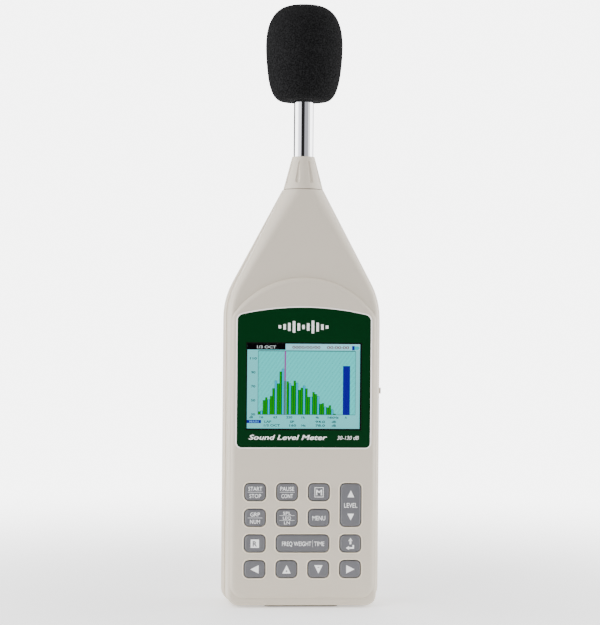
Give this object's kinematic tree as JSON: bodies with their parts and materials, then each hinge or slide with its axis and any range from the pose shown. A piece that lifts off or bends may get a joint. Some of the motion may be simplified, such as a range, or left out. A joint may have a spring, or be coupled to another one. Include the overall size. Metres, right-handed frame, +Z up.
{
  "type": "sound level meter",
  "caption": "Hand-held sound level meter with a colour display, rubber keypad, tapered nose, screw collar, half-inch microphone tube and foam windscreen.",
  "frame": {"origin": "under the microphone's axis, on the surface that the foot pad stands on", "axes": "+Z up along the microphone, -Y out of the display, +X to the right seen from the display's side"},
  "size_m": [0.1013, 0.0505, 0.38],
  "materials": {
    "case": "fine even texture, satin",
    "overlay": "printed film",
    "window": "clear",
    "tinplate": "tinned",
    "screen": "lit colour display",
    "diffuser": "milky",
    "spacer": "satin",
    "key_rubber": "matt, printed",
    "circuit_board": "solder mask",
    "chip": "matt",
    "black_plastic": "satin",
    "cell_steel": "bright",
    "cell_jacket": "printed jacket",
    "spring_steel": "nickel plated",
    "ribbon_film": "film",
    "wire": "insulated",
    "brass": "machined",
    "trimmer_plastic": "moulded",
    "screw_steel": "zinc plated",
    "foot_rubber": "matt",
    "cover_rubber": "matt",
    "knob": "satin",
    "chrome": "polished",
    "foam": "open-cell foam"
  },
  "bodies": {
    "case": {"front_shell": "case", "rear_shell": "case", "display_overlay": "overlay", "display_window": "window", "display_bezel": "tinplate", "display_panel": "screen", "backlight": "diffuser", "display_posts": "spacer", "keypad_mat": "key_rubber", "main_board": "circuit_board", "main_shield": "tinplate", "board_chips": "chip", "clock_holder": "black_plastic", "clock_cell": "cell_steel", "amplifier_board": "circuit_board", "amplifier_shield": "tinplate", "ribbon_connectors": "black_plastic", "ribbon": "ribbon_film", "preamplifier_socket": "black_plastic", "side_board": "circuit_board", "supply_jack": "black_plastic", "output_jack": "black_plastic", "data_socket": "tinplate", "trimmer_body": "trimmer_plastic", "switch_body": "black_plastic", "battery_cells": "cell_jacket", "contact_springs": "spring_steel", "contact_plates": "spring_steel", "battery_wires": "wire", "tripod_insert": "brass", "case_screws": "screw_steel", "board_screws": "screw_steel", "foot_pad": "foot_rubber", "neck_bush": "brass"},
    "start_stop_key": {"start_stop_key": "key_rubber"},
    "pause_key": {"pause_key": "key_rubber"},
    "marker_key": {"marker_key": "key_rubber"},
    "group_key": {"group_key": "key_rubber"},
    "view_key": {"view_key": "key_rubber"},
    "menu_key": {"menu_key": "key_rubber"},
    "record_key": {"record_key": "key_rubber"},
    "enter_key": {"enter_key": "key_rubber"},
    "left_key": {"left_key": "key_rubber"},
    "up_key": {"up_key": "key_rubber"},
    "down_key": {"down_key": "key_rubber"},
    "right_key": {"right_key": "key_rubber"},
    "level_key": {"level_key": "key_rubber"},
    "weighting_key": {"weighting_key": "key_rubber"},
    "power_knob": {"power_knob": "knob"},
    "side_cover": {"side_cover": "cover_rubber"},
    "trimmer": {"trimmer_rotor": "brass"},
    "battery_cover": {"battery_cover": "case"},
    "microphone": {"microphone_tube": "chrome", "microphone_capsule": "chrome", "microphone_grid": "chrome", "microphone_plug": "black_plastic", "preamplifier_board": "circuit_board", "retaining_ring": "spring_steel"},
    "collar": {"collar": "case"},
    "windscreen": {"windscreen": "foam"}
  },
  "joints": [
    {"name": "start_stop_press", "type": "slide", "parent": "case", "child": "start_stop_key", "axis": [0, 1, 0], "range_m": [0, 0.0013], "stiffness_N_per_m": 1000, "springref_m": -0.0004},
    {"name": "pause_press", "type": "slide", "parent": "case", "child": "pause_key", "axis": [0, 1, 0], "range_m": [0, 0.0013], "stiffness_N_per_m": 1000, "springref_m": -0.0004},
    {"name": "marker_press", "type": "slide", "parent": "case", "child": "marker_key", "axis": [0, 1, 0], "range_m": [0, 0.0013], "stiffness_N_per_m": 1000, "springref_m": -0.0004},
    {"name": "group_press", "type": "slide", "parent": "case", "child": "group_key", "axis": [0, 1, 0], "range_m": [0, 0.0013], "stiffness_N_per_m": 1000, "springref_m": -0.0004},
    {"name": "view_press", "type": "slide", "parent": "case", "child": "view_key", "axis": [0, 1, 0], "range_m": [0, 0.0013], "stiffness_N_per_m": 1000, "springref_m": -0.0004},
    {"name": "menu_press", "type": "slide", "parent": "case", "child": "menu_key", "axis": [0, 1, 0], "range_m": [0, 0.0013], "stiffness_N_per_m": 1000, "springref_m": -0.0004},
    {"name": "record_press", "type": "slide", "parent": "case", "child": "record_key", "axis": [0, 1, 0], "range_m": [0, 0.0013], "stiffness_N_per_m": 1000, "springref_m": -0.0004},
    {"name": "enter_press", "type": "slide", "parent": "case", "child": "enter_key", "axis": [0, 1, 0], "range_m": [0, 0.0013], "stiffness_N_per_m": 1000, "springref_m": -0.0004},
    {"name": "left_press", "type": "slide", "parent": "case", "child": "left_key", "axis": [0, 1, 0], "range_m": [0, 0.0013], "stiffness_N_per_m": 1000, "springref_m": -0.0004},
    {"name": "up_press", "type": "slide", "parent": "case", "child": "up_key", "axis": [0, 1, 0], "range_m": [0, 0.0013], "stiffness_N_per_m": 1000, "springref_m": -0.0004},
    {"name": "down_press", "type": "slide", "parent": "case", "child": "down_key", "axis": [0, 1, 0], "range_m": [0, 0.0013], "stiffness_N_per_m": 1000, "springref_m": -0.0004},
    {"name": "right_press", "type": "slide", "parent": "case", "child": "right_key", "axis": [0, 1, 0], "range_m": [0, 0.0013], "stiffness_N_per_m": 1000, "springref_m": -0.0004},
    {"name": "level_rock", "type": "hinge", "parent": "case", "child": "level_key", "pos_m": [0.02985, -0.017, 0.0646], "axis": [1, 0, 0], "range_deg": [-2.5, 2.5], "stiffness_Nm_per_rad": 0.18},
    {"name": "weighting_rock", "type": "hinge", "parent": "case", "child": "weighting_key", "pos_m": [0, -0.017, 0.0406], "axis": [0, 0, 1], "range_deg": [-2.5, 2.5], "stiffness_Nm_per_rad": 0.18},
    {"name": "power_slide", "type": "slide", "parent": "case", "child": "power_knob", "axis": [0, 0, -1], "range_m": [0, 0.0045]},
    {"name": "side_cover_swing", "type": "hinge", "parent": "case", "child": "side_cover", "pos_m": [0.04937, 0.01725, 0.086], "axis": [0, 0, 1], "range_deg": [0, 120]},
    {"name": "trimmer_turn", "type": "hinge", "parent": "case", "child": "trimmer", "pos_m": [0.0448, 0.011, 0.0665], "axis": [1, 0, 0], "range_deg": [-135, 135]},
    {"name": "battery_cover_lift", "type": "slide", "parent": "case", "child": "battery_cover", "axis": [0, 1, 0], "range_m": [0, 0.05]},
    {"name": "microphone_pull", "type": "slide", "parent": "case", "child": "microphone", "axis": [0, 0, 1], "range_m": [0, 0.038]},
    {"name": "collar_turn", "type": "hinge", "parent": "microphone", "child": "collar", "pos_m": [0, 0, 0.2634], "axis": [0, 0, 1], "range_deg": [0, 1080]},
    {"name": "windscreen_pull", "type": "slide", "parent": "microphone", "child": "windscreen", "axis": [0, 0, 1], "range_m": [0, 0.12]}
  ]
}
